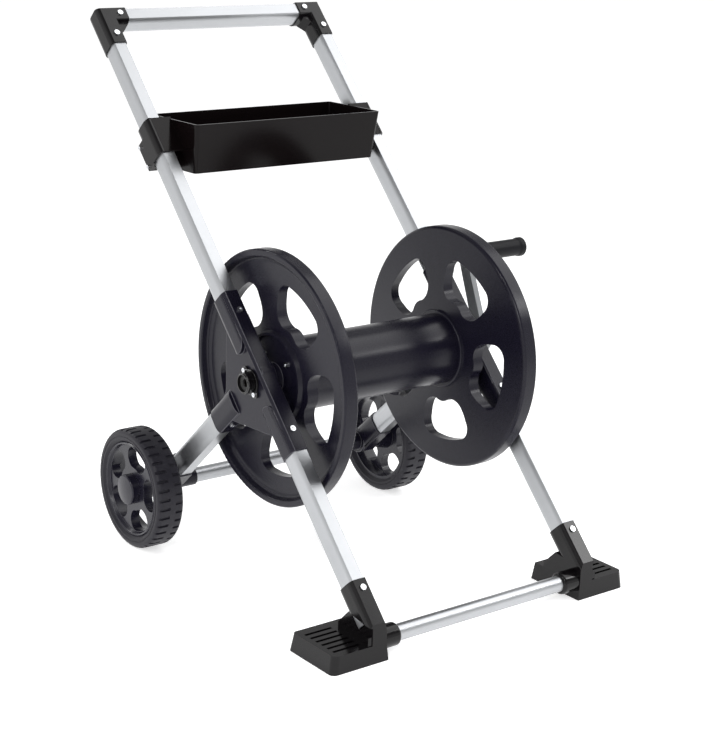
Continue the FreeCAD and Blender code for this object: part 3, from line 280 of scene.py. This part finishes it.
soft_edges(both("corner", "tray_clamp") + ["tray", "crank_arm", "hose_outlet"], 0.0010)
soft_edges(both("foot"), 0.0015)
# the rounding on these nodes gets the painted edge highlight
soft_edges(both("side_bracket", "axle_bracket"), 0.0009, PAINTED_EDGE_HIGHLIGHT, clamp=False)
soft_edges(both("flange", "wheel_rim"), 0.0012, PAINTED_EDGE_HIGHLIGHT, merge=COARSE_MERGE)
soft_edges(both("hub_plate", "hub_cap"), 0.0008, PAINTED_EDGE_HIGHLIGHT, clamp=False)
soft_edges(both("upper_rail", "lower_rail", "rear_leg") + ["handle_bar"], 0.0005)
soft_edges(["grip", "grip_cap", "inlet_housing", "inlet_nut"], 0.0004)

# ---------------------------------------------------------------- tyres with two rows of tread notches
TREAD_EDGE_WIDTH = 0.0004
SEAT_BELOW_TREAD = 0.0201
SEAT_INNER, SEAT_OUTER = 0.006, 0.004       # how far in from the side walls the seat starts
SHOULDER = 0.008
SHOULDER_STEPS = 6
# the groove round each side wall: how deep it goes in, how far it is above the seat
WALL_GROOVE = ((0, 0.0048), (0, 0.0072), (0.0010, 0.0078), (0.0010, 0.0092), (0, 0.0098))
NOTCHES = 40
NOTCH_DEPTH = 0.003
NOTCH_LIP, NOTCH_FLOOR = 1.45, 1.15         # half the width at the tread and at the floor, in degrees
NOTCH_STEPS = ((-NOTCH_LIP, False), (-NOTCH_FLOOR, True), (NOTCH_FLOOR, True), (NOTCH_LIP, False))
INNER_ROW_END = 0.0160
OUTER_ROW_START = 0.0270
ROW_END_SLOPE = 0.0006


def tyre_section(width, outer):
    """The closed outline of the tyre, from the seat over the tread and back: (along the axle, radius)."""
    seat = outer - SEAT_BELOW_TREAD
    wall = [(along, seat + up) for along, up in WALL_GROOVE]
    for step in range(SHOULDER_STEPS + 1):
        turn = math.radians(90 * step / SHOULDER_STEPS)
        wall.append((SHOULDER * (1 - math.cos(turn)), outer - SHOULDER * (1 - math.sin(turn))))
    row_ends = (INNER_ROW_END, INNER_ROW_END + ROW_END_SLOPE,
                OUTER_ROW_START - ROW_END_SLOPE, OUTER_ROW_START)
    tread = [(along, outer) for along in row_ends]
    far_wall = [(width - along, radius) for along, radius in reversed(wall)]
    return [(SEAT_INNER, seat)] + wall + tread + far_wall + [(width - SEAT_OUTER, seat)]


def tyre_turns():
    """Every angle round the tyre that needs points, and the row that is notched there, if any."""
    pitch = 360 / NOTCHES
    turns = []
    for notch in range(NOTCHES):
        for row in (0, 1):
            middle = pitch * (notch + row / 2)
            for step, cut in NOTCH_STEPS:
                turns.append((math.radians(middle + step), row if cut else None))
    return turns


def notched_radius(along, radius, row, outer):
    """The radius of one point of the section where this row, if any, is notched."""
    in_inner_row = row == 0 and along <= INNER_ROW_END
    in_outer_row = row == 1 and along >= OUTER_ROW_START
    return min(radius, outer - NOTCH_DEPTH) if in_inner_row or in_outer_row else radius


def ring_faces(turn_count, point_count):
    """The quads between closed sections that stand round a ring."""
    faces = []
    for here in range(turn_count):
        there = (here + 1) % turn_count
        for k in range(point_count):
            after = (k + 1) % point_count
            corners = ((here, k), (here, after), (there, after), (there, k))
            faces.append([turn * point_count + point for turn, point in corners])
    return faces


def tread_tyre(side_name, side):
    """A notched tyre in the place of the plain one."""
    low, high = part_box(side_name + "_tyre")
    outer = (high[2] - low[2]) / 2
    inner_x = low[0] if side > 0 else high[0]
    middle_y, middle_z = (low[1] + high[1]) / 2, (low[2] + high[2]) / 2
    section = tyre_section(high[0] - low[0], outer)
    turns = tyre_turns()
    points = []
    for turn, row in turns:
        for along, radius in section:
            reach = notched_radius(along, radius, row, outer)
            points.append((inner_x + side * along,
                           middle_y + reach * math.sin(turn),
                           middle_z + reach * math.cos(turn)))

    mesh = bpy.data.meshes.new(side_name + "_tread")
    mesh.from_pydata(points, [], ring_faces(len(turns), len(section)))
    shape = bmesh.new()
    shape.from_mesh(mesh)
    bmesh.ops.recalc_face_normals(shape, faces=shape.faces)
    shape.to_mesh(mesh)
    shape.free()
    mesh.shade_smooth()
    mesh.materials.append(FINISH["wheel_rubber"])
    piece = bpy.data.objects.new(side_name + "_tread", mesh)
    scene.collection.objects.link(piece)
    round_edges(piece, TREAD_EDGE_WIDTH, angle=SHARP_TREAD_EDGE)
    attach(piece, side_name + "_wheel")
    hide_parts(side_name + "_tyre")


for side_name, side in SIDES.items():
    tread_tyre(side_name, side)
